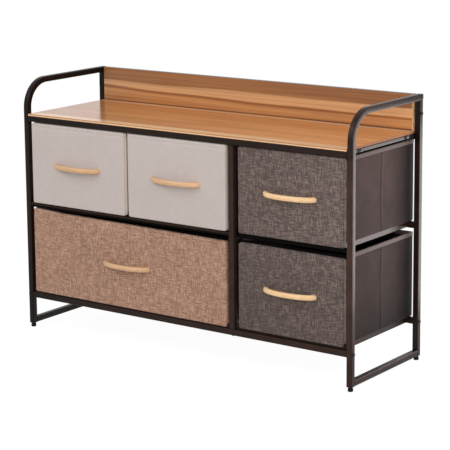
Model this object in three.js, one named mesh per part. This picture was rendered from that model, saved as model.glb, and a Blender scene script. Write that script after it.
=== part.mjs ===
// A chest with fabric drawers: a dark square-tube frame with bent arms, a wooden top with an upright
// back board, two small pale drawers over one wide drawer on the left, two dark drawers on the right.
// Millimetres. X runs to the viewer's right, Y to the back and Z up.
// The origin is on the floor under the middle of the chest, handles included.
import * as THREE from "three";

// Whole frame
const width = 1000;
const depth = 320;
const height = 660;
const tube = 15;
const tubeCorner = 2;
const footHeight = 11;
const footRadius = 6.5;
const footBevel = 1;
const bendRadius = 76;

// Facets of round shapes
const bendSteps = 12;
const cornerSteps = 3;
const roundSteps = 24;

// Levels. The lower drawer row takes what the other heights leave. Runners and rear rails lie a little
// higher than the front rails.
const armRise = 89.5;
const upperRowHeight = 214;
const middleRailHeight = 10;
const middleRailRecess = 10;
const middleRunnerLift = 5;
const frontBottomRailZ = 82;
const lowerRunnerLift = 9;

// The left bay takes two thirds of the clear width
const leftBayShare = 2 / 3;

// Runners, measured from the outer sides of the bins that they carry
const runnerInset = 8;
const splitRunnerOverlap = 16.5;

// Rails under the side edges of the wooden top
const sideRailThickness = 10;

// Wooden top and back board
const topBoardThickness = 5.5;
const backBoardThickness = 12;
const boardCorner = 1;
const boardSideGap = 0.5;
const boardRearGap = 0.3;
const backBoardSideGap = 3;

// Drawer fronts and the gaps round them
const panelThickness = 12;
const panelCorner = 5;
const panelEdge = 3;
const panelEdgeSteps = 3;
const upperPanelTopGap = 2;
const upperPanelBottomGap = 1.5;
const lowerPanelTopGap = 7;
const widePanelBottomGap = 3;
const darkPanelBottomGap = 5.5;
const leftSideGap = 10;
const centreLeftGap = 7.5;
const centreRightGap = 11;
const rightSideGap = 10;
const splitGap = 11;
const splitOffset = 3.5;

// Fabric bins behind the fronts, as wide as the fronts and level with their tops
const binCorner = 6;
const binWall = 3;
const binRearInset = 2;
const hemHeight = 10;
const hemDepth = 1;
const bottomBoardThickness = 4;
const bottomBoardGap = 1;

// Bow handles, outlined from above
const handleHalfLength = 75;
const handleHeight = 13;
const handleReach = 27;
const handleThickness = 12;
const handlePadLength = 16;
const handleCorner = 4;
const bowSteps = 9;
const bowShoulderShare = 0.92;
const bowCrownShare = 0.5;
const bowOuterRiseShare = 0.6;
const bowInnerRiseShare = 0.75;

// Bolt heads on the outer sides, and the smaller one under the centre post
const boltRadius = 5.5;
const centreBoltRadius = 4;
const boltDepth = 2.5;
const boltBevel = 1;

// Values that follow from the ones above
const left = -width / 2;
const right = width / 2;
const front = (handleReach - depth) / 2;
const rear = front + depth;
const innerLeft = left + tube;
const innerRight = right - tube;
const innerFront = front + tube;
const innerRear = rear - tube;
const clearWidth = innerRight - innerLeft - tube;
const centrePostLeft = innerLeft + leftBayShare * clearWidth;
const centrePostRight = centrePostLeft + tube;
const boardTop = height - armRise;
const topRailTop = boardTop - topBoardThickness;
const topRailZ = topRailTop - tube;
const middleRailTop = topRailZ - upperRowHeight;
const middleRailZ = middleRailTop - middleRailHeight;
const middleRunnerZ = middleRailZ + middleRunnerLift;
const middleRunnerTop = middleRunnerZ + tube;
const lowerRunnerZ = frontBottomRailZ + lowerRunnerLift;
const lowerRunnerTop = lowerRunnerZ + tube;
const sides = { left: -1, right: 1 };

// Left and right edges of the drawer fronts
const leftFrontX = innerLeft + leftSideGap;
const centreFrontX = centrePostLeft - centreLeftGap;
const splitX = (leftFrontX + centreFrontX) / 2 + splitOffset;
const frontSpans = {
  smallLeft: [leftFrontX, splitX - splitGap / 2],
  smallRight: [splitX + splitGap / 2, centreFrontX],
  wide: [leftFrontX, centreFrontX],
  dark: [centrePostRight + centreRightGap, innerRight - rightSideGap],
};

const materials = {
  steel: new THREE.MeshStandardMaterial({ color: 0x2a211d, metalness: 0.5, roughness: 0.5 }),
  wood: new THREE.MeshStandardMaterial({ color: 0xb9793f, roughness: 0.4 }),
  handleWood: new THREE.MeshStandardMaterial({ color: 0xe8bf86, roughness: 0.5 }),
  paleLinen: new THREE.MeshStandardMaterial({ color: 0xc4bbb3, roughness: 1 }),
  tanLinen: new THREE.MeshStandardMaterial({ color: 0xa98670, roughness: 1 }),
  darkLinen: new THREE.MeshStandardMaterial({ color: 0x6b625c, roughness: 1 }),
  binFabric: new THREE.MeshStandardMaterial({ color: 0x4c4240, roughness: 1 }),
  fibreboard: new THREE.MeshStandardMaterial({ color: 0x8a7256, roughness: 0.9 }),
  footPlastic: new THREE.MeshStandardMaterial({ color: 0x141210, roughness: 0.7 }),
  boltSteel: new THREE.MeshStandardMaterial({ color: 0x1c1816, metalness: 0.6, roughness: 0.4 }),
};

const part = new THREE.Group();

function addMesh(name, geometry, material) {
  const mesh = new THREE.Mesh(geometry, material);
  mesh.name = name;
  part.add(mesh);
}

// Joins closed rings of equal length, in order, into one solid with flat ends.
function loft(rings) {
  const count = rings[0].length;
  const positions = rings.flat().flatMap((point) => point.toArray());
  const indices = [];
  rings.slice(1).forEach((ring, step) => {
    const low = step * count;
    const high = low + count;
    for (let i = 0; i < count; i += 1) {
      const next = (i + 1) % count;
      indices.push(low + i, low + next, high + next);
      indices.push(low + i, high + next, high + i);
    }
  });
  const last = (rings.length - 1) * count;
  for (let i = 1; i < count - 1; i += 1) {
    indices.push(0, i + 1, i);
    indices.push(last, last + i, last + i + 1);
  }
  const geometry = new THREE.BufferGeometry();
  geometry.setAttribute("position", new THREE.Float32BufferAttribute(positions, 3));
  geometry.setIndex(indices);
  geometry.computeVertexNormals();
  return geometry;
}

// Corner-rounded rectangle as [u, v] pairs, anticlockwise.
function roundedRectangle(uSpan, vSpan, radius) {
  const quarterTurns = [0, 1, 2, 3];
  return quarterTurns.flatMap((quarter) => {
    const toRight = quarter === 0 || quarter === 3;
    const toTop = quarter < 2;
    const u = toRight ? uSpan[1] - radius : uSpan[0] + radius;
    const v = toTop ? vSpan[1] - radius : vSpan[0] + radius;
    return Array.from({ length: cornerSteps + 1 }, (_, step) => {
      const angle = ((quarter + step / cornerSteps) * Math.PI) / 2;
      return [u + radius * Math.cos(angle), v + radius * Math.sin(angle)];
    });
  });
}

// A box with rounded corners round its long axis, and edges rounded by `edge` at both ends.
function block(axis, span, corner, edge = 0, edgeSteps = 1) {
  const order = { x: ["y", "z", "x"], y: ["z", "x", "y"], z: ["x", "y", "z"] }[axis];
  const [u, v, w] = order;
  const ring = (inset, at) =>
    roundedRectangle(
      [span[u][0] + inset, span[u][1] - inset],
      [span[v][0] + inset, span[v][1] - inset],
      corner - inset,
    ).map(([a, b]) => {
      const point = new THREE.Vector3();
      point[u] = a;
      point[v] = b;
      point[w] = at;
      return point;
    });
  if (edge === 0) return loft([ring(0, span[w][0]), ring(0, span[w][1])]);
  const quarter = Array.from({ length: edgeSteps + 1 }, (_, step) => {
    const angle = ((step / edgeSteps) * Math.PI) / 2;
    return { inset: edge * (1 - Math.sin(angle)), rise: edge * (1 - Math.cos(angle)) };
  });
  const start = quarter.map(({ inset, rise }) => ring(inset, span[w][0] + rise));
  const end = [...quarter].reverse().map(({ inset, rise }) => ring(inset, span[w][1] - rise));
  return loft([...start, ...end]);
}

function bar(name, axis, x, y, z) {
  addMesh(name, block(axis, { x, y, z }, tubeCorner), materials.steel);
}

// Span of a piece `size` wide that starts at `from`.
function run(from, size) {
  return [from, from + size];
}

// Span on the left or right side of the frame, measured inwards from its outer face.
function inward(sign, inset, size) {
  const outer = sign * (right - inset);
  const inner = sign * (right - inset - size);
  return [Math.min(outer, inner), Math.max(outer, inner)];
}

// Front leg that bends back over the top as an arm and ends above the rear post.
function bentPost(sign) {
  const middleX = sign * (right - tube / 2);
  const legY = front + tube / 2;
  const armZ = height - tube / 2;
  const radius = bendRadius - tube / 2;
  const half = [-tube / 2, tube / 2];
  const section = roundedRectangle(half, half, tubeCorner);
  const ring = (y, z, angle) =>
    section.map(([u, v]) => {
      const py = y + v * Math.cos(angle);
      const pz = z - v * Math.sin(angle);
      return new THREE.Vector3(middleX + u, py, pz);
    });
  const rings = [ring(legY, footHeight, 0)];
  for (let step = 0; step <= bendSteps; step += 1) {
    const angle = ((step / bendSteps) * Math.PI) / 2;
    const y = legY + radius * (1 - Math.cos(angle));
    const z = armZ - radius * (1 - Math.sin(angle));
    rings.push(ring(y, z, angle));
  }
  rings.push(ring(rear, armZ, Math.PI / 2));
  return loft(rings);
}

// Round piece from [radius, position] pairs along X or Z.
function turned(axis, centre, profile) {
  const rings = profile.map(([radius, along]) =>
    Array.from({ length: roundSteps }, (_, step) => {
      const angle = (step / roundSteps) * 2 * Math.PI;
      const a = radius * Math.cos(angle);
      const b = radius * Math.sin(angle);
      if (axis === "z") return new THREE.Vector3(centre.x + a, centre.y + b, along);
      return new THREE.Vector3(along, centre.y + a, centre.z + b);
    }),
  );
  return loft(rings);
}

function addPosts() {
  for (const [side, sign] of Object.entries(sides)) {
    const x = inward(sign, 0, tube);
    addMesh(`${side}_front_post`, bentPost(sign), materials.steel);
    bar(`${side}_rear_post`, "z", x, [innerRear, rear], [footHeight, height - tube]);
    bar(`${side}_sled_rail`, "y", x, [innerFront, innerRear], run(footHeight, tube));
    const sideRailX = inward(sign, tube + boardSideGap, sideRailThickness);
    const sideRailZ = run(topRailTop - sideRailThickness, sideRailThickness);
    bar(`${side}_upper_rail`, "y", sideRailX, [innerFront, innerRear], sideRailZ);
  }
}

function addCrossRails() {
  const all = [innerLeft, innerRight];
  const frontY = [front, innerFront];
  const rearY = [innerRear, rear];
  bar("front_bottom_rail", "x", all, frontY, run(frontBottomRailZ, tube));
  bar("rear_bottom_rail", "x", all, rearY, run(lowerRunnerZ, tube));
  bar("front_top_rail", "x", all, frontY, run(topRailZ, tube));
  bar("rear_top_rail", "x", all, rearY, run(topRailZ, tube));

  const postX = [centrePostLeft, centrePostRight];
  bar("front_centre_post", "z", postX, frontY, [frontBottomRailZ + tube, topRailZ]);
  bar("rear_centre_post", "z", postX, rearY, [lowerRunnerTop, topRailZ]);

  const leftX = [innerLeft, centrePostLeft];
  const rightX = [centrePostRight, innerRight];
  const railZ = run(middleRailZ, middleRailHeight);
  const recessedY = run(front + middleRailRecess, tube);
  bar("front_middle_rail_left", "x", leftX, frontY, railZ);
  bar("front_middle_rail_right", "x", rightX, recessedY, railZ);
  bar("rear_middle_rail_left", "x", leftX, rearY, run(middleRunnerZ, tube));
  bar("rear_middle_rail_right", "x", rightX, rearY, run(middleRunnerZ, tube));
}

// Runners that the drawers rest and slide on.
function addRunners() {
  const leftX = run(frontSpans.wide[0] + runnerInset, tube);
  const centreLeftX = run(frontSpans.wide[1] - runnerInset - tube, tube);
  const centreRightX = run(frontSpans.dark[0] + runnerInset, tube);
  const rightX = run(frontSpans.dark[1] - runnerInset - tube, tube);
  const splitRunnerX = [
    frontSpans.smallLeft[1] - splitRunnerOverlap,
    frontSpans.smallRight[0] + splitRunnerOverlap,
  ];

  const lowerZ = run(lowerRunnerZ, tube);
  const flushY = [innerFront, innerRear];
  bar("lower_runner_left", "y", leftX, flushY, lowerZ);
  bar("lower_runner_centre_left", "y", centreLeftX, flushY, lowerZ);
  bar("lower_runner_centre_right", "y", centreRightX, flushY, lowerZ);
  bar("lower_runner_right", "y", rightX, flushY, lowerZ);

  const middleZ = run(middleRunnerZ, tube);
  const recessedY = [innerFront + middleRailRecess, innerRear];
  bar("middle_runner_left", "y", leftX, flushY, middleZ);
  bar("middle_runner_split", "y", splitRunnerX, flushY, middleZ);
  bar("middle_runner_centre_left", "y", centreLeftX, flushY, middleZ);
  bar("middle_runner_centre_right", "y", centreRightX, recessedY, middleZ);
  bar("middle_runner_right", "y", rightX, recessedY, middleZ);
}

function addBoards() {
  const topSpan = {
    x: [innerLeft + boardSideGap, innerRight - boardSideGap],
    y: [front, innerRear - boardRearGap],
    z: run(topRailTop, topBoardThickness),
  };
  addMesh("table_top", block("x", topSpan, boardCorner), materials.wood);
  const backSpan = {
    x: [innerLeft + backBoardSideGap, innerRight - backBoardSideGap],
    y: run(innerRear, backBoardThickness),
    z: [topRailTop, height],
  };
  addMesh("back_board", block("x", backSpan, boardCorner), materials.wood);
}

// Bolt head that stands out from a face towards plus or minus `axis`.
function bolt(axis, centre, radius, face, sign) {
  const profile = [
    [radius, face],
    [radius, face + sign * (boltDepth - boltBevel)],
    [radius - boltBevel, face + sign * boltDepth],
  ];
  if (sign < 0) profile.reverse();
  return turned(axis, centre, profile);
}

function addFeetAndBolts() {
  const footProfile = [
    [footRadius - footBevel, 0],
    [footRadius, footBevel],
    [footRadius, footHeight],
  ];
  const frontY = front + tube / 2;
  const rearY = rear - tube / 2;
  for (const [side, sign] of Object.entries(sides)) {
    const footX = sign * (right - tube / 2);
    for (const [end, y] of Object.entries({ front: frontY, rear: rearY })) {
      const foot = turned("z", { x: footX, y }, footProfile);
      addMesh(`${side}_${end}_foot`, foot, materials.footPlastic);
    }
    const spots = {
      front_bolt: { y: frontY, z: frontBottomRailZ + tube / 2 },
      rear_bolt: { y: rearY, z: lowerRunnerZ + tube / 2 },
      upper_bolt: { y: rearY, z: (topRailTop + height) / 2 },
    };
    for (const [spot, centre] of Object.entries(spots)) {
      addMesh(`${side}_${spot}`, bolt("x", centre, boltRadius, sign * right, sign), materials.boltSteel);
    }
  }
  const centre = { x: (centrePostLeft + centrePostRight) / 2, y: frontY };
  const centreBolt = bolt("z", centre, centreBoltRadius, frontBottomRailZ, -1);
  addMesh("front_centre_bolt", centreBolt, materials.boltSteel);
}

// Open-topped fabric bin with a folded hem round its rim.
function bin(x, y, z) {
  const ring = (outset, at) =>
    roundedRectangle(
      [x[0] - outset, x[1] + outset],
      [y[0] - outset, y[1] + outset],
      binCorner + outset,
    ).map(([a, b]) => new THREE.Vector3(a, b, at));
  return loft([
    ring(0, z[0]),
    ring(0, z[1] - hemHeight),
    ring(hemDepth, z[1] - hemHeight),
    ring(hemDepth, z[1]),
    ring(-binWall, z[1]),
    ring(-binWall, z[0] + binWall),
  ]);
}

// Bow handle: rings that turn from flat on the drawer front to across the grip and back.
function handle(centreX, faceY, centreZ) {
  const outline = (halfLength, reach, rise) =>
    new THREE.CubicBezierCurve(
      new THREE.Vector2(halfLength, 0),
      new THREE.Vector2(bowShoulderShare * halfLength, -rise * reach),
      new THREE.Vector2(bowCrownShare * halfLength, -reach),
      new THREE.Vector2(0, -reach),
    ).getPoints(bowSteps);
  const outer = outline(handleHalfLength, handleReach, bowOuterRiseShare);
  const inner = outline(
    handleHalfLength - handlePadLength,
    handleReach - handleThickness,
    bowInnerRiseShare,
  );
  const halfHeight = handleHeight / 2;
  const ring = (side) => (_, step) => {
    const from = inner[step];
    const to = outer[step];
    const along = to.clone().sub(from);
    const section = roundedRectangle([0, along.length()], [-halfHeight, halfHeight], handleCorner);
    along.normalize();
    return section.map(([u, v]) => {
      const x = centreX + side * (from.x + along.x * u);
      return new THREE.Vector3(x, faceY + from.y + along.y * u, centreZ + v);
    });
  };
  const rightHalf = outer.map(ring(1));
  const leftHalf = outer.map(ring(-1)).reverse();
  return loft([...rightHalf, ...leftHalf.slice(1)]);
}

function addDrawer(name, x, z, faceY, restZ, linen) {
  const backY = faceY + panelThickness;
  const panel = block("y", { x, y: [faceY, backY], z }, panelCorner, panelEdge, panelEdgeSteps);
  addMesh(`${name}_front`, panel, linen);

  const binY = [backY + hemDepth, rear - binRearInset];
  addMesh(`${name}_bin`, bin(x, binY, [restZ, z[1]]), materials.binFabric);

  const boardInset = binWall + bottomBoardGap;
  const boardSpan = {
    x: [x[0] + boardInset, x[1] - boardInset],
    y: [binY[0] + boardInset, binY[1] - boardInset],
    z: run(restZ + binWall, bottomBoardThickness),
  };
  const board = block("z", boardSpan, binCorner - boardInset);
  addMesh(`${name}_bottom_board`, board, materials.fibreboard);

  const centreX = (x[0] + x[1]) / 2;
  const centreZ = (z[0] + z[1]) / 2;
  addMesh(`${name}_handle`, handle(centreX, faceY, centreZ), materials.handleWood);
}

function addUpperDrawer(name, x, faceY, linen) {
  const z = [middleRailTop + upperPanelBottomGap, topRailZ - upperPanelTopGap];
  addDrawer(name, x, z, faceY, middleRunnerTop, linen);
}

function addLowerDrawer(name, x, bottomGap, faceY, linen) {
  const z = [frontBottomRailZ + tube + bottomGap, middleRailZ - lowerPanelTopGap];
  addDrawer(name, x, z, faceY, lowerRunnerTop, linen);
}

// The pale and the wide drawers are flush with the frame. The backs of the dark fronts line up with
// the backs of the front rails.
function addDrawers() {
  const { paleLinen, tanLinen, darkLinen } = materials;
  const darkFaceY = innerFront - panelThickness;
  addUpperDrawer("small_left_drawer", frontSpans.smallLeft, front, paleLinen);
  addUpperDrawer("small_right_drawer", frontSpans.smallRight, front, paleLinen);
  addUpperDrawer("dark_upper_drawer", frontSpans.dark, darkFaceY, darkLinen);
  addLowerDrawer("wide_drawer", frontSpans.wide, widePanelBottomGap, front, tanLinen);
  addLowerDrawer("dark_lower_drawer", frontSpans.dark, darkPanelBottomGap, darkFaceY, darkLinen);
}

addPosts();
addCrossRails();
addRunners();
addBoards();
addFeetAndBolts();
addDrawers();

export default part;
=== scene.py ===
"""A low chest with five fabric drawers in a dark steel frame, on a pale studio floor.

Metres, +Z up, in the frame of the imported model: X runs to the viewer's right, Y to the back.
"""

import math

import bpy
from mathutils import Matrix, Vector, noise


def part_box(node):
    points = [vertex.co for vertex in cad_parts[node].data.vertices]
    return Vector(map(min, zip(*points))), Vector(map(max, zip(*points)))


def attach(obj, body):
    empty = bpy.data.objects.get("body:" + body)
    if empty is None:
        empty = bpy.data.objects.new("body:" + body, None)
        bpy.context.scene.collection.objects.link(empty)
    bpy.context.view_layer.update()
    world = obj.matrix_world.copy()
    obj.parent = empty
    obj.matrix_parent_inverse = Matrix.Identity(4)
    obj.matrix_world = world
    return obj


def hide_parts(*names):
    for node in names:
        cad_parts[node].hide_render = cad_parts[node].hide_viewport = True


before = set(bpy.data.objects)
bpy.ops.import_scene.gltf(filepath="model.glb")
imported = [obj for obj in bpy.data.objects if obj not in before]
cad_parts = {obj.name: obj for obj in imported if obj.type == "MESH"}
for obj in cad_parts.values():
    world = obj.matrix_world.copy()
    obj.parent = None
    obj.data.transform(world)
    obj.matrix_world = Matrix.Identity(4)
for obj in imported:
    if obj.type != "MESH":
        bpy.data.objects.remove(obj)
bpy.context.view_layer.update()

# Drawers: name, which is also its slide body, and linen of the front
drawer_linens = {
    "small_left_drawer": "pale",
    "small_right_drawer": "pale",
    "wide_drawer": "tan",
    "dark_upper_drawer": "dark",
    "dark_lower_drawer": "dark",
}

# Steel tube
tube = 0.015
tube_corner = 0.0022
bend_radius = 0.076
bend_steps = 36
corner_steps = 5
plug_inset = 0.0012
plug_proud = 0.0012
plug_round = 0.0008

# Clips and screws on the rails beside the wooden top: middles along Y, and sizes
clip_places = (-0.0945, 0.118, 0.151)
clip_half_length = 0.0045
clip_half_height = 0.0048
clip_corner = 0.0012
clip_proud = 0.0014
rail_screw_places = (-0.0835, 0.1285)
rail_screw_radius = 0.0042
rail_screw_depth = 0.0022

# Drawer fronts
front_corner = 0.006
front_edge = 0.0035
front_cell = 0.012
front_hem = 0.0095
front_groove = 0.0016
front_groove_depth = 0.0007
front_wave = 0.0005
front_wave_length = 0.09
edge_steps = 4

# How much lower than the bin's rim a lower front's top edge hangs, at its left and right end,
# and how far the wide front's upper left corner is pulled up again
front_drops = {
    "wide_drawer": (0, 0.0072),
    "dark_lower_drawer": (0.0047, 0.007),
}
wide_corner_rise = 0.0052
wide_corner_length = 0.1

# Binding under the lower fronts, dark with painted shade, and how far it reaches past their ends
binding_above_rail = 0.0006
binding_overlap = 0.009
binding_reaches = {
    "wide_drawer": 0.004,
    "dark_lower_drawer": 0.009,
}
binding_thickness = 0.006
binding_setback = 0.003
binding_corner = 0.0012

# Fabric bins
bin_corner = 0.004
bin_rear_reach = 0.0038
wide_bin_rise = 0.0062
bin_wall = 0.003
bin_cell = 0.011
bin_hem = 0.0095
bin_hem_proud = 0.0009
bin_bottom_round = 0.005
linen_wrap = 0.016
bin_seam_share = 0.513
bin_seam_width = 0.0022
bin_seam_ridge = 0.0009
bin_slack = 0.0035
bin_slack_length = 0.07
bin_pucker = 0.0018
bin_pucker_length = 0.022
bin_pucker_reach = 0.03

# Bow handles
handle_thickness = 0.012
handle_pad = 0.016
handle_corner = 0.0055
bow_steps = 28
bow_shoulder_share = 0.92
bow_crown_share = 0.5
bow_outer_rise_share = 0.6
bow_inner_rise_share = 0.75

# Bolts and feet
round_steps = 36
socket_share = 0.5
socket_depth_share = 0.6
dome_steps = 6
foot_round = 0.0015
foot_neck = 0.0045
foot_neck_inset = 0.001

# Edges that meet at a sharper angle than this stay crisp
sharp_angle = math.radians(40)

# Textures: the range that most noises keep to
noise_low_share = 0.3
noise_high_share = 0.7

# Textures of paint, steel and plastic
paint_blotch = 0.05
paint_peel = 0.02
paint_grain = 0.0011
paint_grain_depth = 0.000004
wear_blotch = 0.003
wear_depth = 0.00005
plastic_grain = 0.0009
plastic_grain_depth = 0.00005

# Textures of cloth
thread_pitch = 0.0014
slub_width = 0.0015
slub_length = 0.02
slub_depth = 0.0001
# Painted shade between threads and painted light on their backs, as shares of the cloth's colour
weave_painted_shade_share = 0.07
weave_painted_light_share = 0.02
thread_shuffle = 7.31
cloth_patch = 0.09
fibre_size = 0.0012
fibre_depth = 0.0003
bin_cloud = 0.05

# Textures of wood
beech_grain = 0.0022
beech_pore = 0.0007
beech_pore_depth = 0.0001
figure_size = 0.07
streak_size = 0.005
streak_depth = 0.00005
streak_dull_share = 1.3
cut_edge_roughness = 0.8
band_wobble_share = 0.12
pore_size = 0.0016
board_fibre = 0.003
board_fibre_depth = 0.0003
edge_line = 0.0022
painted_highlight_width = 0.004
top_edge_depth = 0.0006

# Camera
camera_azimuth = math.radians(36.037)
camera_elevation = math.radians(10.281)
camera_roll = math.radians(-0.5)
camera_distance = 4.3463
camera_target = Vector((0.01793, 0.02654, 0.47933))
camera_lens = 138.77
camera_sensor = 36
camera_shift = -0.15

# Studio
floor_size = 60
floor_glow = 1.12
floor_glow_share = 0.85
floor_colour = 205
world_strength = 0.56
key_place = (-1.4, -2.4, 2.4)
key_aim = (0, 0, 0.35)
key_size = (2.4, 1.8)
key_power = 36
fill_place = (2.2, -2.4, 1.4)
fill_aim = (0.2, 0, 0.35)
fill_size = (1.4, 1.4)
fill_power = 38
side_place = (0.86, 0.55, 0.25)
side_aim = (0.48, 0, 0.27)
side_size = (0.6, 0.5)
side_power = 6


def srgb(red, green, blue):
    """Linear colour of an 8-bit screen colour."""

    def linear(value):
        share = value / 255
        return share / 12.92 if share <= 0.04045 else ((share + 0.055) / 1.055) ** 2.4

    return (linear(red), linear(green), linear(blue), 1)


def grey(value):
    return (value, value, value, 1)


class Look:
    """A node material while it is being built. Textures follow the object's own coordinates, in metres."""

    def __init__(self, name, **surface):
        self.material = bpy.data.materials.new(name)
        self.material.use_nodes = True
        self.tree = self.material.node_tree
        self.shader = self.tree.nodes["Principled BSDF"]
        self.place = self.add("ShaderNodeTexCoord").outputs["Object"]
        for socket, value in surface.items():
            self.set(socket.replace("_", " "), value)

    def add(self, kind, sockets=None, **settings):
        node = self.tree.nodes.new(kind)
        for key, value in settings.items():
            setattr(node, key, value)
        for key, value in (sockets or {}).items():
            self.plug(node.inputs[key], value)
        return node

    def plug(self, socket, value):
        if isinstance(value, bpy.types.NodeSocket):
            self.tree.links.new(value, socket)
        else:
            socket.default_value = value

    def set(self, socket, value):
        self.plug(self.shader.inputs[socket], value)

    def noise_at(self, place, detail=2.0, roughness=0.5, distortion=0.0):
        sockets = {
            "Vector": place,
            "Scale": 1.0,
            "Detail": detail,
            "Roughness": roughness,
            "Distortion": distortion,
        }
        return self.add("ShaderNodeTexNoise", sockets).outputs["Fac"]

    def noise(self, size, stretch=(1, 1, 1), **settings):
        """Noise between 0 and 1 with blotches of a size, stretched along x, y and z."""
        scale = [1 / (size * factor) for factor in stretch]
        mapping = self.add("ShaderNodeMapping", {"Vector": self.place, "Scale": scale})
        return self.noise_at(mapping.outputs["Vector"], **settings)

    def ramp(self, factor, stops):
        """Colours, or plain values, at stops along a factor."""
        node = self.add("ShaderNodeValToRGB", {"Fac": factor})
        elements = node.color_ramp.elements
        while len(elements) < len(stops):
            elements.new(1.0)
        for element, (position, value) in zip(elements, stops):
            element.position = position
            element.color = value if isinstance(value, tuple) else grey(value)
        return node.outputs["Color"]

    def between(self, factor, low, high):
        """From one colour or value to another over the usual range of a noise."""
        return self.ramp(factor, [(noise_low_share, low), (noise_high_share, high)])

    def mix(self, factor, first, second, blend_type="MIX"):
        node = self.add("ShaderNodeMix", data_type="RGBA", blend_type=blend_type)
        # A colour mix has its factor and its two colours at these places
        factor_socket, first_socket, second_socket = (node.inputs[i] for i in (0, 6, 7))
        self.plug(factor_socket, factor)
        self.plug(first_socket, first)
        self.plug(second_socket, second)
        return node.outputs[2]

    def times(self, first, second):
        return self.mix(1.0, first, second, "MULTIPLY")

    def maths(self, operation, first, second=0.5):
        node = self.add("ShaderNodeMath", operation=operation)
        self.plug(node.inputs[0], first)
        self.plug(node.inputs[1], second)
        return node.outputs[0]

    def axis(self, name):
        return self.add("ShaderNodeSeparateXYZ", {"Vector": self.place}).outputs[name]

    def share(self, name, low, high):
        """How far along an axis a point lies between two places, from 0 to 1."""
        sockets = {"Value": self.axis(name), "From Min": low, "From Max": high}
        return self.add("ShaderNodeMapRange", sockets).outputs["Result"]

    def bump(self, height, depth):
        sockets = {"Height": height, "Distance": depth, "Strength": 1.0}
        self.set("Normal", self.add("ShaderNodeBump", sockets).outputs["Normal"])


def powder_coat():
    """Dark brown satin paint with painted light and shade: darker at the left, near the floor, round the
    top and at the rear, lighter at the right.
    """
    look = Look("powder_coat", Specular_IOR_Level=0.115)
    blotches = look.noise(paint_blotch, detail=3)
    tone = look.ramp(blotches, [(0.35, srgb(44, 29, 23)), (0.7, srgb(54, 37, 30))])
    low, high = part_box("front_bottom_rail")
    # Painted shade at the left and painted light at the right
    painted_shade_across_stops = [(0.0, 0.5), (0.25, 0.95), (0.7, 1.15), (1.0, 1.5)]
    across = look.ramp(look.share("X", low.x, high.x), painted_shade_across_stops)
    low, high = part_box("right_front_post")
    # Painted shade near the floor, round the top and towards the rear
    painted_shade_up_stops = [(0.05, 0.6), (0.3, 1.0), (0.81, 1.0), (0.83, 0.45), (0.93, 0.5), (0.97, 0.7)]
    up = look.ramp(look.share("Z", low.z, high.z), painted_shade_up_stops)
    rear = look.ramp(look.share("Y", low.y, high.y), [(0.4, 1.0), (1.0, 0.5)])
    look.set("Base Color", look.times(tone, look.times(look.times(across, up), rear)))
    look.set("Roughness", look.between(look.noise(paint_peel), 0.28, 0.34))
    look.bump(look.noise(paint_grain), paint_grain_depth)
    return look.material


def shaded_steel(name, node, upper_tone):
    """Matt paint of a rail between the rows of drawers, darkened as painted shade and black on its lower
    part.
    """
    look = Look(name, Specular_IOR_Level=0.03)
    low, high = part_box(node)
    height = look.share("Z", low.z, high.z)
    tone = look.ramp(height, [(0.5, srgb(9, 7, 6)), (0.65, upper_tone)])
    patch = look.ramp(look.noise(paint_blotch, detail=3), [(0.35, 0.85), (0.7, 1.0)])
    look.set("Base Color", look.times(tone, patch))
    look.set("Roughness", look.between(look.noise(paint_peel), 0.6, 0.7))
    look.bump(look.noise(paint_grain), paint_grain_depth)
    return look.material


def worn_steel(name, dark, light):
    look = Look(name, Metallic=0.6)
    wear = look.noise(wear_blotch, detail=4)
    look.set("Base Color", look.ramp(wear, [(0.4, dark), (0.75, light)]))
    look.set("Roughness", look.ramp(wear, [(0.3, 0.35), (0.8, 0.55)]))
    look.bump(wear, wear_depth)
    return look.material


def black_plastic():
    look = Look("black_plastic", Specular_IOR_Level=0.15)
    grain = look.noise(plastic_grain, detail=3)
    look.set("Base Color", look.ramp(grain, [(0.3, srgb(9, 8, 8)), (0.8, srgb(18, 17, 16))]))
    look.set("Roughness", look.between(grain, 0.55, 0.7))
    look.bump(grain, plastic_grain_depth)
    return look.material


def slubs(look, across, along):
    """Threads side by side, each lighter and darker in stretches along its length."""
    number = look.maths("FLOOR", look.maths("DIVIDE", across, slub_width))
    shuffled = look.maths("MULTIPLY", number, thread_shuffle)
    length = look.maths("DIVIDE", along, slub_length)
    place = look.add("ShaderNodeCombineXYZ", {"X": shuffled, "Y": length})
    return look.noise_at(place.outputs["Vector"], detail=2)


def knots(look, across):
    """Round backs of the fine threads across a direction, from 0 to 1."""
    turns = look.maths("MULTIPLY", look.maths("DIVIDE", across, thread_pitch), math.pi)
    return look.maths("ABSOLUTE", look.maths("SINE", turns))


def dark_front_painted_shade(look):
    """Painted shade on the dark fronts: darker towards the centre post and the floor."""
    low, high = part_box("dark_lower_drawer_front")[0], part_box("dark_upper_drawer_front")[1]
    across = look.ramp(look.share("X", low.x, high.x), [(0.0, 0.88), (0.6, 1.0)])
    up = look.ramp(look.share("Z", low.z, high.z), [(0.0, 0.79), (0.48, 0.9), (0.54, 1.0)])
    return look.times(across, up)


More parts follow.
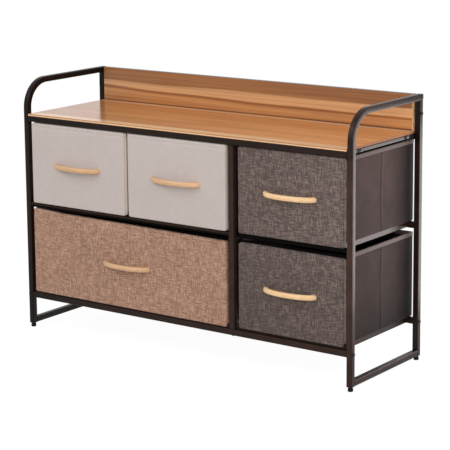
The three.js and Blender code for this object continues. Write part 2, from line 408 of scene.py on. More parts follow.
def linen(name, dark, base, light, patch_share=0.1, relief_share=1.0):
    """Plain weave with pale and dark slubs running both ways, and round the front's edges."""
    look = Look(name, Sheen_Weight=0.1, Sheen_Roughness=0.6, Specular_IOR_Level=0.2)
    around = look.maths("ADD", look.axis("X"), look.axis("Y"))
    height = look.axis("Z")
    weft = slubs(look, height, around)
    warp = slubs(look, around, height)
    pale_share = look.ramp(look.maths("MAXIMUM", weft, warp), [(0.5, 0.0), (0.66, 1.0)])
    dark_share = look.ramp(look.maths("MINIMUM", weft, warp), [(0.34, 1.0), (0.5, 0.0)])
    cloth = look.mix(dark_share, look.mix(pale_share, base, light), dark)
    patch = look.noise(cloth_patch, detail=3)
    shade = look.between(patch, 1 - patch_share, 1.0)
    # Painted shade between the threads and painted light on their round backs
    weave = look.maths("MULTIPLY", knots(look, around), knots(look, height))
    painted_shade_between_threads = 1 - weave_painted_shade_share * relief_share
    painted_light_on_threads = 1 + weave_painted_light_share * relief_share
    shade = look.times(shade, look.ramp(weave, [(0.0, painted_shade_between_threads), (0.5, painted_light_on_threads)]))
    # Painted shade on the dark fronts towards the centre post and the floor
    if name == "dark_linen":
        shade = look.times(shade, dark_front_painted_shade(look))
    look.set("Base Color", look.times(cloth, shade))
    look.set("Roughness", look.between(patch, 0.86, 0.95))
    look.bump(look.maths("ADD", look.maths("ADD", weft, warp), weave), slub_depth * relief_share)
    return look.material


def bin_cloth():
    """Thin brown non-woven cloth, clouded and fibrous, with painted shade: darker towards the bottom and
    the rear.
    """
    look = Look("bin_cloth", Sheen_Weight=0.03, Sheen_Roughness=0.5, Specular_IOR_Level=0.1)
    fibres = look.noise(fibre_size, stretch=(1, 1, 3), detail=3)
    clouds = look.noise(bin_cloud, detail=4, distortion=0.8)
    tone = look.between(clouds, srgb(66, 51, 48), srgb(77, 60, 57))
    speckle = look.between(fibres, 0.86, 1.0)
    # Painted shade towards the rear and the bottom
    low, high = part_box("dark_upper_drawer_bin")
    painted_shade_rear_stops = [(0.62, 1.0), (0.79, 0.6), (0.86, 0.45), (0.93, 0.22)]
    rear = look.ramp(look.share("Y", low.y, high.y), painted_shade_rear_stops)
    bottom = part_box("dark_lower_drawer_bin")[0].z
    painted_shade_up_stops = [(0.0, 0.22), (0.15, 0.45), (0.24, 0.57), (0.6, 0.74), (0.9, 1.0)]
    up = look.ramp(look.share("Z", bottom, high.z), painted_shade_up_stops)
    tone = look.times(tone, look.times(rear, up))
    look.set("Base Color", look.times(tone, speckle))
    look.set("Roughness", look.between(fibres, 0.75, 0.9))
    look.bump(look.maths("ADD", fibres, clouds), fibre_depth)
    return look.material


def painted_shade_cloth():
    """Black cloth on the bin's wall behind the front, as painted shade in the gap above the lower fronts.
    """
    look = Look("painted_shade_cloth", Specular_IOR_Level=0.03)
    fibres = look.noise(fibre_size, stretch=(3, 3, 1), detail=3)
    look.set("Base Color", look.between(fibres, srgb(9, 7, 6), srgb(14, 11, 10)))
    look.set("Roughness", look.between(fibres, 0.85, 0.95))
    look.bump(fibres, fibre_depth)
    return look.material


def hem_cloth():
    """The bin's cloth folded double, paler than the rest of the bin."""
    look = Look("hem_cloth", Sheen_Weight=0.1, Sheen_Roughness=0.5, Specular_IOR_Level=0.2)
    fibres = look.noise(fibre_size, stretch=(3, 3, 1), detail=3)
    look.set("Base Color", look.between(fibres, srgb(84, 69, 65), srgb(102, 86, 81)))
    look.set("Roughness", look.between(fibres, 0.7, 0.85))
    look.bump(fibres, fibre_depth)
    return look.material


def beech():
    look = Look("beech", Specular_IOR_Level=0.4)
    grain = look.noise(beech_grain, stretch=(22, 1, 1), detail=4, distortion=0.3)
    pores = look.noise(beech_pore, stretch=(8, 1, 1), detail=2)
    stops = [(0.3, srgb(228, 182, 130)), (0.55, srgb(243, 203, 154)), (0.75, srgb(249, 216, 172))]
    tone = look.ramp(grain, stops)
    flecks = look.ramp(pores, [(0.3, 0.86), (0.45, 1.0)])
    # Darker on the handles at the left
    left_darkening = look.ramp(look.axis("X"), [(0.0, srgb(226, 217, 217)), (0.2, 1.0)])
    tone = look.times(tone, left_darkening)
    look.set("Base Color", look.times(tone, flecks))
    look.set("Roughness", look.between(grain, 0.28, 0.36))
    look.bump(pores, beech_pore_depth)
    return look.material


def grain_shade(look):
    """Fine streaks and pores along X, as a factor that multiplies a wood colour."""
    streaks = look.noise(streak_size, stretch=(80, 1, 1), detail=6, roughness=0.65, distortion=0.3)
    pores = look.noise(pore_size, stretch=(20, 1, 1), detail=3)
    streak_shade = look.ramp(streaks, [(0.35, 0.8), (0.5, 1.0), (0.65, 1.14)])
    pore_shade = look.ramp(pores, [(0.3, 0.94), (0.5, 1.0)])
    return look.times(streak_shade, pore_shade), streaks


def finish_wood(look, tone, roughness, dull_share=0.0):
    """Grain, gloss and relief of a board. Where the dull share is 1, the laminate's cut edge is matt."""
    shade, streaks = grain_shade(look)
    look.set("Base Color", look.times(tone, shade))
    gloss = look.between(streaks, roughness, roughness * streak_dull_share)
    look.set("Roughness", look.mix(dull_share, gloss, grey(cut_edge_roughness)))
    look.bump(streaks, streak_depth)
    return look.material


def table_wood():
    """Laminate with painted highlight strips along its front and rear, a brown line in the front edge,
    painted light across it and painted shade on its right end face.
    """
    look = Look("table_wood", Specular_IOR_Level=0.4)
    low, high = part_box("table_top")
    figure = look.noise(figure_size, stretch=(10, 1, 1), detail=3, distortion=0.5)
    stops = [(0.3, srgb(188, 121, 66)), (0.5, srgb(204, 137, 80)), (0.7, srgb(220, 154, 95))]
    tone = look.ramp(figure, stops)
    # Painted light and shade across the top: darker at the left, lighter at the right
    painted_light_across = look.ramp(look.share("X", low.x, high.x), [(0.0, 0.88), (0.5, 1.0), (1.0, 1.28)])
    tone = look.times(tone, painted_light_across)
    # Painted highlights along the front and rear of the top
    painted_highlight_stops = [(0.09, 1.0), (0.11, 0.0), (0.93, 0.0), (0.95, 1.0)]
    painted_highlights = look.ramp(look.share("Y", low.y, high.y), painted_highlight_stops)
    tone = look.mix(painted_highlights, tone, srgb(246, 198, 148))
    front_face = look.maths("LESS_THAN", look.axis("Y"), low.y + edge_line / 2)
    tone = look.mix(front_face, tone, srgb(238, 192, 144))
    upper_part = look.maths("GREATER_THAN", look.axis("Z"), high.z - edge_line)
    tone = look.mix(look.maths("MULTIPLY", front_face, upper_part), tone, srgb(176, 122, 78))
    # Painted shade on the right end face
    right_face = look.maths("GREATER_THAN", look.axis("X"), high.x - edge_line / 2)
    tone = look.mix(right_face, tone, srgb(150, 98, 66))
    return finish_wood(look, tone, 0.15, right_face)


def back_wood():
    """Laminate with a pale band that widens to the right, over a dark line, with a painted shadow along
    the joint with the top, a painted highlight on the right end and painted light towards the right.
    """
    look = Look("back_wood", Specular_IOR_Level=0.4)
    low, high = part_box("back_board")
    rise = look.share("Z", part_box("table_top")[1].z, high.z)
    across = look.share("X", low.x, high.x)
    wobble = look.noise(figure_size, stretch=(5, 1, 1), detail=2)
    wobble = look.maths("MULTIPLY", look.maths("SUBTRACT", wobble, 0.5), band_wobble_share)
    level = look.maths("ADD", rise, wobble)
    line_shares = [(0.0, 0.48), (0.17, 0.43), (0.32, 0.4), (0.5, 0.36), (1.0, 0.35)]
    above_line = look.maths("SUBTRACT", level, look.ramp(across, line_shares))
    stops = [
        (0.2, srgb(168, 112, 64)),
        (0.34, srgb(190, 134, 82)),
        (0.41, srgb(180, 122, 72)),
        (0.44, srgb(140, 87, 44)),
        (0.48, srgb(148, 94, 50)),
        (0.51, srgb(203, 153, 105)),
    ]
    # Painted light towards the right
    painted_light_across = look.ramp(across, [(0.7, 1.0), (1.0, 1.15)])
    tone = look.times(look.ramp(look.maths("ADD", above_line, 0.5), stops), painted_light_across)
    upper_figure = look.noise(figure_size, stretch=(8, 1, 0.4))
    upper = look.between(upper_figure, srgb(136, 87, 47), srgb(156, 105, 62))
    tone = look.mix(look.ramp(level, [(0.6, 0.0), (0.63, 1.0)]), tone, upper)
    # Painted shadow along the joint with the top
    tone = look.mix(look.ramp(rise, [(0.03, 1.0), (0.05, 0.0)]), tone, srgb(112, 68, 36))
    # Painted highlight on the right end
    right_end = look.maths("GREATER_THAN", look.axis("X"), high.x - painted_highlight_width)
    tone = look.mix(right_end, tone, srgb(206, 160, 112))
    top_edge = look.maths("GREATER_THAN", look.axis("Z"), high.z - top_edge_depth)
    tone = look.mix(top_edge, tone, srgb(88, 80, 76))
    return finish_wood(look, tone, 0.24)


def fibreboard():
    look = Look("fibreboard", Specular_IOR_Level=0.2)
    fibres = look.noise(board_fibre, detail=5)
    look.set("Base Color", look.between(fibres, srgb(112, 88, 62), srgb(150, 122, 90)))
    look.set("Roughness", look.between(fibres, 0.8, 0.95))
    look.bump(fibres, board_fibre_depth)
    return look.material


looks = {
    "steel": powder_coat(),
    # The middle rails carry painted shade; the right one, set back, is nearly black all over
    "left_rail": shaded_steel("shaded_steel_left", "front_middle_rail_left", srgb(50, 37, 29)),
    "right_rail": shaded_steel("shaded_steel_right", "front_middle_rail_right", srgb(13, 10, 9)),
    "bolt": worn_steel("black_steel", srgb(14, 12, 12), srgb(46, 41, 39)),
    "screw": worn_steel("zinc_steel", srgb(96, 94, 95), srgb(150, 148, 150)),
    "plastic": black_plastic(),
    "pale": linen("pale_linen", srgb(192, 180, 174), srgb(195, 183, 177), srgb(198, 187, 181), 0.04, 0.2),
    # Lighter copy of the pale linen: painted light on the pale fronts' edges and the bins' sides behind
    # them
    "edge": linen("pale_linen_painted_light", srgb(232, 217, 202), srgb(236, 222, 208), srgb(240, 227, 214), 0.04, 0.2),
    "tan": linen("tan_linen", srgb(144, 107, 86), srgb(168, 129, 107), srgb(200, 161, 138)),
    "dark": linen("dark_linen", srgb(84, 70, 67), srgb(97, 82, 77), srgb(139, 122, 113)),
    "bin": bin_cloth(),
    "hem": hem_cloth(),
    "painted_shade_black": painted_shade_cloth(),
    "beech": beech(),
    "table": table_wood(),
    "back": back_wood(),
    "fibre": fibreboard(),
}


# Mesh pieces


def make_piece(name, points, faces, *materials):
    """A smooth-shaded mesh object. Each face is a pair: its corners, and its material's number."""
    mesh = bpy.data.meshes.new(name)
    mesh.from_pydata(points, [], [corners for corners, _ in faces])
    for polygon, (_, material) in zip(mesh.polygons, faces):
        polygon.material_index = material
        polygon.use_smooth = True
    mesh.set_sharp_from_angle(angle=sharp_angle)
    for material in materials:
        mesh.materials.append(material)
    piece = bpy.data.objects.new(name, mesh)
    bpy.context.scene.collection.objects.link(piece)
    return piece


def fit(piece, body, slot, *nodes):
    """The piece rides on a body and stands for CAD nodes. The record slot is not used."""
    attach(piece, body)
    if nodes:
        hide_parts(*nodes)


def loft(rings, materials=None):
    """Points and faces of rings joined in order, with flat ends. A band can have its own material."""
    count = len(rings[0])
    bands = materials or [0] * (len(rings) - 1)
    faces = []
    for step, material in enumerate(bands):
        for i in range(count):
            j = (i + 1) % count
            low, high = step * count, (step + 1) * count
            faces.append(([low + i, low + j, high + j, high + i], material))
    faces.append((list(reversed(range(count))), bands[0]))
    top = (len(rings) - 1) * count
    faces.append((list(range(top, top + count)), bands[-1]))
    return [point for ring in rings for point in ring], faces


def rounded_rectangle(half_u, half_v, corner, steps=corner_steps):
    """Anticlockwise (u, v) points round a rectangle with rounded corners."""
    points = []
    for quarter in range(4):
        sign_u = 1 if quarter in (0, 3) else -1
        sign_v = 1 if quarter < 2 else -1
        for step in range(steps + 1):
            angle = (quarter + step / steps) * math.pi / 2
            u = sign_u * (half_u - corner) + corner * math.cos(angle)
            v = sign_v * (half_v - corner) + corner * math.sin(angle)
            points.append((u, v))
    return points


def bent_post(side):
    """Front leg that bends back over the top as an arm."""
    node = f"{side}_front_post"
    low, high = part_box(node)
    middle_x = (low.x + high.x) / 2
    leg_y = low.y + tube / 2
    arm_z = high.z - tube / 2
    radius = bend_radius - tube / 2
    section = rounded_rectangle(tube / 2, tube / 2, tube_corner)

    def ring(y, z, angle):
        sine, cosine = math.sin(angle), math.cos(angle)
        return [Vector((middle_x + u, y + v * cosine, z - v * sine)) for u, v in section]

    rings = [ring(leg_y, low.z, 0)]
    for step in range(bend_steps + 1):
        angle = step / bend_steps * math.pi / 2
        y = leg_y + radius * (1 - math.cos(angle))
        z = arm_z - radius * (1 - math.sin(angle))
        rings.append(ring(y, z, angle))
    rings.append(ring(high.y, arm_z, math.pi / 2))
    piece = make_piece(f"{node}_tube", *loft(rings), looks["steel"])
    fit(piece, "frame", "frame_steel", node)


def end_plug(side):
    """Plastic plug in the open rear end of the arm."""
    low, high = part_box(f"{side}_front_post")
    middle_x = (low.x + high.x) / 2
    middle_z = high.z - tube / 2
    rings = []
    for shrink, out in ((0, -plug_inset), (0, plug_proud - plug_round), (plug_round, plug_proud)):
        half = tube / 2 - plug_inset - shrink
        section = rounded_rectangle(half, half, tube_corner)
        rings.append([Vector((middle_x - u, high.y + out, middle_z + v)) for u, v in section])
    piece = make_piece(f"{side}_arm_plug", *loft(rings), looks["plastic"])
    fit(piece, "frame", "foot_plastic")


def turned(profile, frame_of, hexagon_from=None):
    """Rings of a turned piece. Rings from hexagon_from on are six-sided."""
    rings = []
    for number, (radius, along) in enumerate(profile):
        ring = []
        for step in range(round_steps):
            angle = step / round_steps * 2 * math.pi
            reach = radius
            if hexagon_from is not None and number >= hexagon_from:
                sixth = math.pi / 3
                reach = radius * math.cos(sixth / 2) / math.cos(angle % sixth - sixth / 2)
            ring.append(frame_of(reach * math.cos(angle), reach * math.sin(angle), along))
        rings.append(ring)
    return rings


def bolt_head(node):
    """Domed bolt head with a hexagon socket, standing out from the frame."""
    low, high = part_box(node)
    middle = (low + high) / 2
    size = high - low
    across = node == "front_centre_bolt"
    depth = size.z if across else size.x
    radius = size.x / 2 if across else size.y / 2
    socket = radius * socket_share

    def frame_of(a, b, along):
        if across:
            return Vector((middle.x + a, middle.y - b, high.z - along))
        if middle.x > 0:
            return Vector((low.x + along, middle.y + a, middle.z + b))
        return Vector((high.x - along, middle.y - a, middle.z + b))

    rim = depth / 3
    profile = [(radius, 0), (radius, rim)]
    for step in range(1, dome_steps + 1):
        angle = step / dome_steps * math.pi / 2
        reach = socket + (radius - socket) * math.cos(angle)
        profile.append((reach, rim + (depth - rim) * math.sin(angle)))
    hexagon_from = len(profile)
    floor = depth * (1 - socket_depth_share)
    profile += [(socket, depth), (socket, floor), (socket / 2, floor - floor / 4)]
    piece = make_piece(f"{node}_head", *loft(turned(profile, frame_of, hexagon_from)), looks["bolt"])
    fit(piece, "frame", "bolt_steel", node)


def rail_face(side):
    """Outer face of the rail beside the wooden top: its direction along X, its x and its middle z."""
    low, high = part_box(f"{side}_upper_rail")
    middle_z = (low.z + high.z) / 2
    return (1, high.x, middle_z) if side == "right" else (-1, low.x, middle_z)


def rail_screw(side, number, y):
    """Small round screw head on the rail's outer face."""
    sign, face_x, middle_z = rail_face(side)

    def frame_of(a, b, along):
        return Vector((face_x + sign * along, y + sign * a, middle_z + b))

    slope = rail_screw_radius * socket_share
    profile = [
        (rail_screw_radius, 0),
        (rail_screw_radius, rail_screw_depth / 2),
        (slope, rail_screw_depth),
        (slope, rail_screw_depth / 2),
        (slope / 2, rail_screw_depth / 4),
    ]
    name = f"{side}_rail_screw_{number}"
    piece = make_piece(name, *loft(turned(profile, frame_of, len(profile) - 2)), looks["screw"])
    fit(piece, "frame", "bolt_steel")


def rail_clip(side, number, y):
    """Black plug in a hole in the rail's outer face."""
    sign, face_x, middle_z = rail_face(side)
    rings = []
    for shrink, out in ((0, 0), (0, clip_proud / 2), (clip_corner / 2, clip_proud)):
        section = rounded_rectangle(clip_half_length - shrink, clip_half_height - shrink, clip_corner)
        rings.append([Vector((face_x + sign * out, y + sign * u, middle_z + v)) for u, v in section])
    piece = make_piece(f"{side}_rail_clip_{number}", *loft(rings), looks["plastic"])
    fit(piece, "frame", "foot_plastic")


def foot(node):
    """Glide foot: a round pad under a narrower neck in the tube's end."""
    low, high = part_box(node)
    middle = (low + high) / 2
    radius = (high.x - low.x) / 2
    height = high.z - low.z
    profile = []
    for step in range(edge_steps + 1):
        angle = step / edge_steps * math.pi / 2
        inset = foot_round * (1 - math.sin(angle))
        profile.append((radius - inset, foot_round * (1 - math.cos(angle))))
    profile += [
        (radius, height - foot_neck),
        (radius - foot_neck_inset, height - foot_neck + foot_neck_inset),
        (radius - foot_neck_inset, height),
    ]

    def frame_of(a, b, along):
        return Vector((middle.x + a, middle.y + b, low.z + along))

    piece = make_piece(f"{node}_glide", *loft(turned(profile, frame_of)), looks["plastic"])
    fit(piece, "frame", "foot_plastic", node)


# Drawer fronts


def edge_look(kind):
    """Linen where it turns round a front's edge: on the pale fronts a lighter copy of their linen, as
    painted light.
    """
    return looks["edge"] if kind == "pale" else looks[kind]


def edge_insets(radius):
    return [radius * (1 - math.cos(step / edge_steps * math.pi / 2)) for step in range(edge_steps + 1)]


def spread(low, high, step):
    """Evenly spaced values strictly between two others."""
    count = max(1, round((high - low) / step))
    return [low + (high - low) * i / count for i in range(1, count)]


def grid_lines(low, high, extra=()):
    """Grid positions: close together in the rounded edges, then the corner, then evenly spread."""
    insets = edge_insets(front_edge) + [front_corner]
    lines = [low + inset for inset in insets] + [high - inset for inset in insets]
    lines += spread(low + front_corner, high - front_corner, front_cell)
    return sorted(set(lines) | set(extra))


def round_corner(x, z, low, high):
    """Moves a grid point near a corner on to the rounded corner. Also gives how far inside it lies."""
    from_x, from_z = min(x - low.x, high.x - x), min(z - low.z, high.z - z)
    if from_x >= front_corner or from_z >= front_corner:
        return x, z, min(from_x, from_z)
    u, v = front_corner - from_x, front_corner - from_z
    reach = max(u, v)
    scale = reach / math.hypot(u, v) if reach > 0 else 1
    middle_x, middle_z = (low.x + high.x) / 2, (low.z + high.z) / 2
    corner_x = low.x + front_corner if x < middle_x else high.x - front_corner
    corner_z = low.z + front_corner if z < middle_z else high.z - front_corner
    return corner_x + (x - corner_x) * scale, corner_z + (z - corner_z) * scale, front_corner - reach


def front_relief(x, z, inset, high):
    """How far the cloth lies behind the front's face: rounded edge, hem groove and a slight wave."""
    relief = 0.0
    if inset < front_edge:
        rest = front_edge - inset
        relief += front_edge - math.sqrt(front_edge**2 - rest**2)
    else:
        wave = noise.noise(Vector((x / front_wave_length, 0, z / front_wave_length)))
        relief += front_wave * (0.5 + 0.5 * wave)
    from_hem = abs(z - (high.z - front_hem)) / front_groove
    if from_hem < 1:
        relief += front_groove_depth * (1 - from_hem)
    return relief


def front_drop(drawer, x, z, low, high):
    """How much lower a point of a lower front is: nothing at the bottom, and all at the top."""
    at_left, at_right = front_drops.get(drawer, (0, 0))
    at_top = at_left + (at_right - at_left) * (x - low.x) / (high.x - low.x)
    if drawer == "wide_drawer":
        at_top -= wide_corner_rise * max(0, 1 - (x - low.x) / wide_corner_length)
    return at_top * (z - low.z) / (high.z - low.z)


def cloth_front(drawer):
    """A board wrapped in linen, turned in round its edges, with a stitched hem along the top."""
    kind = drawer_linens[drawer]
    node = f"{drawer}_front"
    low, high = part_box(node)
    hem_z = high.z - front_hem
    columns = grid_lines(low.x, high.x)
    rows = grid_lines(low.z, high.z, (hem_z - front_groove, hem_z, hem_z + front_groove))
    points = []
    for z in rows:
        for x in columns:
            to_x, to_z, inset = round_corner(x, z, low, high)
            relief = front_relief(to_x, to_z, inset, high)
            to_z -= front_drop(drawer, to_x, to_z, low, high)
            points.append(Vector((to_x, low.y + relief, to_z)))
    width, height = len(columns), len(rows)
    faces = []
    for row in range(height - 1):
        for column in range(width - 1):
            a = row * width + column
            faces.append(([a, a + 1, a + width + 1, a + width], 0))
    border = list(range(width))
    border += [row * width + width - 1 for row in range(1, height)]
    border += [(height - 1) * width + column for column in range(width - 2, -1, -1)]
    border += [row * width for row in range(height - 2, 0, -1)]
    back = []
    for index in border:
        back.append(len(points))
        points.append(Vector((points[index].x, high.y, points[index].z)))
    count = len(border)
    for i in range(count):
        j = (i + 1) % count
        faces.append(([border[j], border[i], back[i], back[j]], 1))
    faces.append((list(reversed(back)), 1))
    piece = make_piece(f"{node}_cloth", points, faces, looks[kind], edge_look(kind))
    fit(piece, drawer, f"{kind}_linen", node)


def front_binding(drawer):
    """Cloth turned under a lower front, just clear of the rail below it, dark with the bin cloth's painted
    shade.
    """
    low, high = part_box(f"{drawer}_front")
    rail_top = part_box("front_bottom_rail")[1].z
    bottom, top = rail_top + binding_above_rail, low.z + binding_overlap
    middle_z = (bottom + top) / 2
    middle_y = low.y + binding_setback + binding_thickness / 2
    section = rounded_rectangle(binding_thickness / 2, (top - bottom) / 2, binding_corner)
    reach = binding_reaches[drawer]
    span_low, span_high = low.x - reach, high.x + reach
    rings = []
    for x in [span_low, *spread(span_low, span_high, front_cell), span_high]:
        rings.append([Vector((x, middle_y + u, middle_z + v)) for u, v in section])
    piece = make_piece(f"{drawer}_binding", *loft(rings), looks["bin"])
    fit(piece, drawer, "bin_fabric")


# Fabric bins


def bin_outline(low, high, seam_y):
    """Points round a bin seen from above, as (x, y, outward x, outward y, along), anticlockwise."""
    middle_x, middle_y = (low.x + high.x) / 2, (low.y + high.y) / 2
    half_x, half_y = (high.x - low.x) / 2, (high.y - low.y) / 2
    flat_x, flat_y = half_x - bin_corner, half_y - bin_corner
    seam = seam_y - middle_y
    seams = [seam + step * bin_seam_width / 2 for step in (-2, -1, 0, 1, 2)]
    along_x = spread(-flat_x, flat_x, bin_cell)
    along_y = sorted(spread(-flat_y, flat_y, bin_cell) + seams)
    corner = rounded_rectangle(half_x, half_y, bin_corner)
    per_corner = len(corner) // 4
    outline = []
    sides = (
        [(x, half_y, 0, 1) for x in reversed(along_x)],
        [(-half_x, y, -1, 0) for y in reversed(along_y)],
        [(x, -half_y, 0, -1) for x in along_x],
        [(half_x, y, 1, 0) for y in along_y],
    )
    for quarter, side in enumerate(sides):
        for step in range(per_corner):
            u, v = corner[quarter * per_corner + step]
            angle = (quarter + step / (per_corner - 1)) * math.pi / 2
            outline.append((middle_x + u, middle_y + v, math.cos(angle), math.sin(angle)))
        for x, y, out_x, out_y in side:
            outline.append((middle_x + x, middle_y + y, out_x, out_y))
    return outline


def bin_sag(x, y, z, out_x, low, high, seam_y):
    """How far a bin's wall is drawn in: slack between its corners and rim, puckers beside the seam."""
    if abs(out_x) > 0.5:
        from_corner = min(y - low.y, high.y - y)
    else:
        from_corner = min(x - low.x, high.x - x)
    free = min(1, max(0, from_corner - bin_corner) / bin_slack_length)
    free *= min(1, (high.z - z) / bin_slack_length) * min(1, (z - low.z) / bin_slack_length)
    wave = noise.noise(Vector((x, y, z)) / bin_slack_length)
    sag = bin_slack * free * (0.5 + 0.5 * wave)
    if abs(out_x) > 0.5:
        near = math.exp(-(((y - seam_y) / bin_pucker_reach) ** 2))
        pucker = noise.noise(Vector((x, y / bin_pucker_reach, z / bin_pucker_length)))
        sag += bin_pucker * near * max(0, pucker)
        ridge = max(0, 1 - abs(y - seam_y) / bin_seam_width)
        sag -= bin_seam_ridge * ridge
    return sag


def cloth_bin(drawer):
    """An open fabric box behind the front, with a folded hem round its rim."""
    node = f"{drawer}_bin"
    low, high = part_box(node)
    low = low + Vector((bin_hem_proud, bin_hem_proud, 0))
    high = high + Vector((-bin_hem_proud, bin_rear_reach - bin_hem_proud, 0))
    seam_y = low.y + (high.y - low.y) * bin_seam_share
    outline = bin_outline(low, high, seam_y)
    hem_z = high.z - bin_hem

    def ring(z, outset, follows):
        points = []
        for x, y, out_x, out_y in outline:
            out = outset
            if follows:
                out -= bin_sag(x, y, z, out_x, low, high, seam_y)
            rise = 0
            if drawer == "wide_drawer" and x < low.x + bin_corner:
                rise = wide_bin_rise * (z - low.z) / (high.z - low.z)
            points.append(Vector((x + out_x * out, y + out_y * out, z + rise)))
        return points

    levels = [low.z + bin_bottom_round, *spread(low.z + bin_bottom_round, hem_z, bin_cell), hem_z]
    rings = []
    for step in range(edge_steps):
        angle = step / edge_steps * math.pi / 2
        rise, inset = bin_bottom_round * (1 - math.cos(angle)), bin_bottom_round * (1 - math.sin(angle))
        rings.append(ring(low.z + rise, -inset, False))
    rings += [ring(z, 0, True) for z in levels]
    outside = len(rings)
    fold = bin_hem_proud
    rings.append(ring(hem_z, fold / 2, False))
    rings.append(ring(hem_z + fold, fold, False))
    rings.append(ring(high.z - fold, fold, False))
    rings.append(ring(high.z, 0, False))
    rings.append(ring(high.z, -bin_wall, False))
    rings.append(ring(high.z - fold, -bin_wall - fold, False))
    rings.append(ring(hem_z, -bin_wall - fold, False))
    hem_end = len(rings)
    rings += [ring(z, -bin_wall, True) for z in reversed(levels[:-1])]
    last = len(rings)
    bands = [0] * (outside - 1) + [1] * (hem_end - outside) + [0] * (last - hem_end)
    wrap = edge_look(drawer_linens[drawer])
    materials = [looks["bin"], looks["hem"], wrap, looks["painted_shade_black"]]
    piece = make_piece(f"{node}_cloth", *loft(rings, bands), *materials)
    # The bins' sides just behind the front take the front's linen; their wall behind the front is painted
    # black as shade
    for polygon in piece.data.polygons:
        behind_front = polygon.center.y - low.y
        faces_side = abs(polygon.normal.x) > abs(polygon.normal.y)
        if behind_front < linen_wrap and faces_side:
            polygon.material_index = materials.index(wrap)
        elif behind_front < bin_wall + bin_hem_proud and polygon.normal.y < 0.5:
            polygon.material_index = materials.index(looks["painted_shade_black"])
    fit(piece, drawer, "bin_fabric", node)


# Bow handles


def bow(half_length, reach, rise):
    """Points of one half of a bow, from its end on the front to its crown."""
    ends = [
        Vector((half_length, 0)),
        Vector((bow_shoulder_share * half_length, -rise * reach)),
        Vector((bow_crown_share * half_length, -reach)),
        Vector((0, -reach)),
    ]
    points = []
    for step in range(bow_steps + 1):
        t = step / bow_steps
        weights = ((1 - t) ** 3, 3 * t * (1 - t) ** 2, 3 * t**2 * (1 - t), t**3)
        points.append(sum((end * weight for end, weight in zip(ends, weights)), Vector((0, 0))))
    return points


def bow_handle(drawer):
    node = f"{drawer}_handle"
    low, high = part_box(node)
    centre_x = (low.x + high.x) / 2
    centre_z = (low.z + high.z) / 2
    half_length, reach = (high.x - low.x) / 2, high.y - low.y
    half_height = (high.z - low.z) / 2
    outer = bow(half_length, reach, bow_outer_rise_share)
    inner = bow(half_length - handle_pad, reach - handle_thickness, bow_inner_rise_share)

    def ring(side, start, end):
        middle = (start + end) / 2
        along = end - start
        section = rounded_rectangle(along.length / 2, half_height, handle_corner)
        along.normalize()
        points = []
        for u, v in section:
            x = centre_x + side * (middle.x + along.x * u)
            points.append(Vector((x, high.y + middle.y + along.y * u, centre_z + v)))
        return points

    right_half = [ring(1, start, end) for start, end in zip(inner, outer)]
    left_half = [ring(-1, start, end) for start, end in zip(inner, outer)]
    rings = right_half + list(reversed(left_half))[1:]
    piece = make_piece(f"{node}_bow", *loft(rings), looks["beech"])
    fit(piece, drawer, "handle_wood", node)


# Carried-over CAD nodes


def cad_look(name):
    """Look of a CAD node that stays as it is, or nothing if a piece stands for it."""
    if name == "table_top":
        return looks["table"]
    if name == "back_board":
        return looks["back"]
    if name == "front_middle_rail_left":
        return looks["left_rail"]
    if name == "front_middle_rail_right":
        return looks["right_rail"]
    if name.endswith("_bottom_board"):
        return looks["fibre"]
    if name.endswith(("_rail", "_post", "_left", "_right", "_split")):
        return looks["steel"]
    return None


def finish_cad():
    """Materials for the straight tubes, the boards and the bottom boards."""
    for name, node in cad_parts.items():
        material = cad_look(name)
        if material:
            node.data.materials.clear()
            node.data.materials.append(material)


# Studio


def add_floor():
    """Pale floor: white to the camera and in reflections, and darker only where the chest shades it."""
    look = Look("studio_floor", Roughness=0.9, Specular_IOR_Level=0.1)
    look.set("Base Color", srgb(floor_colour, floor_colour, floor_colour))
    path = look.add("ShaderNodeLightPath")
    seen = look.maths("MAXIMUM", path.outputs["Is Camera Ray"], path.outputs["Is Glossy Ray"])
    seen = look.maths("MAXIMUM", seen, path.outputs["Is Transmission Ray"])
    glow = look.add("ShaderNodeEmission", {"Color": (1, 1, 1, 1), "Strength": floor_glow})
    factor = look.maths("MULTIPLY", seen, floor_glow_share)
    mixed = look.add("ShaderNodeMixShader", {0: factor, 1: look.shader.outputs[0], 2: glow.outputs[0]})
    look.plug(look.tree.nodes["Material Output"].inputs["Surface"], mixed.outputs[0])
    half = floor_size / 2
    corners = [Vector((x * half, y * half, 0)) for x, y in ((-1, -1), (1, -1), (1, 1), (-1, 1))]
    floor = make_piece("studio_floor", corners, [([0, 1, 2, 3], 0)], look.material)


def add_world():
    world = bpy.data.worlds.new("studio")
    bpy.context.scene.world = world
    world.use_nodes = True
    tree = world.node_tree
    background = tree.nodes["Background"]
    background.inputs["Color"].default_value = (1, 1, 1, 1)
    path = tree.nodes.new("ShaderNodeLightPath")
    seen = path.outputs["Is Camera Ray"]
    for ray in ("Is Glossy Ray", "Is Transmission Ray"):
        either = tree.nodes.new("ShaderNodeMath")
        either.operation = "MAXIMUM"
        tree.links.new(seen, either.inputs[0])
        tree.links.new(path.outputs[ray], either.inputs[1])
        seen = either.outputs[0]
    strength = tree.nodes.new("ShaderNodeMapRange")
    strength.inputs["To Min"].default_value = world_strength
    strength.inputs["To Max"].default_value = 1.0
    tree.links.new(seen, strength.inputs["Value"])
    tree.links.new(strength.outputs["Result"], background.inputs["Strength"])


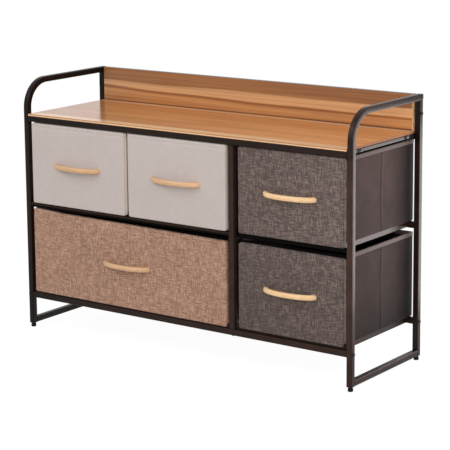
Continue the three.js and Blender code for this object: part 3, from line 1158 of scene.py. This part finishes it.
def add_lamp(name, place, aim, size, power):
    light = bpy.data.lights.new(name, "AREA")
    light.shape = "RECTANGLE"
    light.size, light.size_y = size
    light.energy = power
    lamp = bpy.data.objects.new(name, light)
    lamp.location = place
    lamp.rotation_euler = (Vector(aim) - Vector(place)).to_track_quat("-Z", "Y").to_euler()
    lamp.visible_camera = False
    bpy.context.scene.collection.objects.link(lamp)


def add_camera():
    """Camera at the photograph's angle, with the frame shifted so that uprights stay nearly parallel."""
    a, e = camera_azimuth, camera_elevation
    forward = Vector((-math.sin(a) * math.cos(e), math.cos(a) * math.cos(e), -math.sin(e)))
    level = Vector((math.cos(a), math.sin(a), 0))
    above = level.cross(forward)
    right = level * math.cos(camera_roll) + above * math.sin(camera_roll)
    upward = above * math.cos(camera_roll) - level * math.sin(camera_roll)
    data = bpy.data.cameras.new("camera")
    data.lens = camera_lens
    data.sensor_width = camera_sensor
    data.shift_y = camera_shift
    camera = bpy.data.objects.new("camera", data)
    turn = Matrix((right, upward, -forward)).transposed()
    camera.matrix_world = Matrix.Translation(camera_target - forward * camera_distance) @ turn.to_4x4()
    bpy.context.scene.collection.objects.link(camera)
    bpy.context.scene.camera = camera


def make_chest():
    finish_cad()
    for side in ("left", "right"):
        bent_post(side)
        end_plug(side)
        for end in ("front", "rear"):
            foot(f"{side}_{end}_foot")
        for spot in ("front", "rear", "upper"):
            bolt_head(f"{side}_{spot}_bolt")
        for number, y in enumerate(clip_places):
            rail_clip(side, number, y)
        for number, y in enumerate(rail_screw_places):
            rail_screw(side, number, y)
    bolt_head("front_centre_bolt")
    for drawer in drawer_linens:
        cloth_front(drawer)
        cloth_bin(drawer)
        bow_handle(drawer)
    for drawer in binding_reaches:
        front_binding(drawer)


add_camera()
make_chest()
add_floor()
add_world()
add_lamp("key_lamp", key_place, key_aim, key_size, key_power)
add_lamp("fill_lamp", fill_place, fill_aim, fill_size, fill_power)
add_lamp("side_lamp", side_place, side_aim, side_size, side_power)
bpy.context.scene.view_settings.view_transform = "Standard"
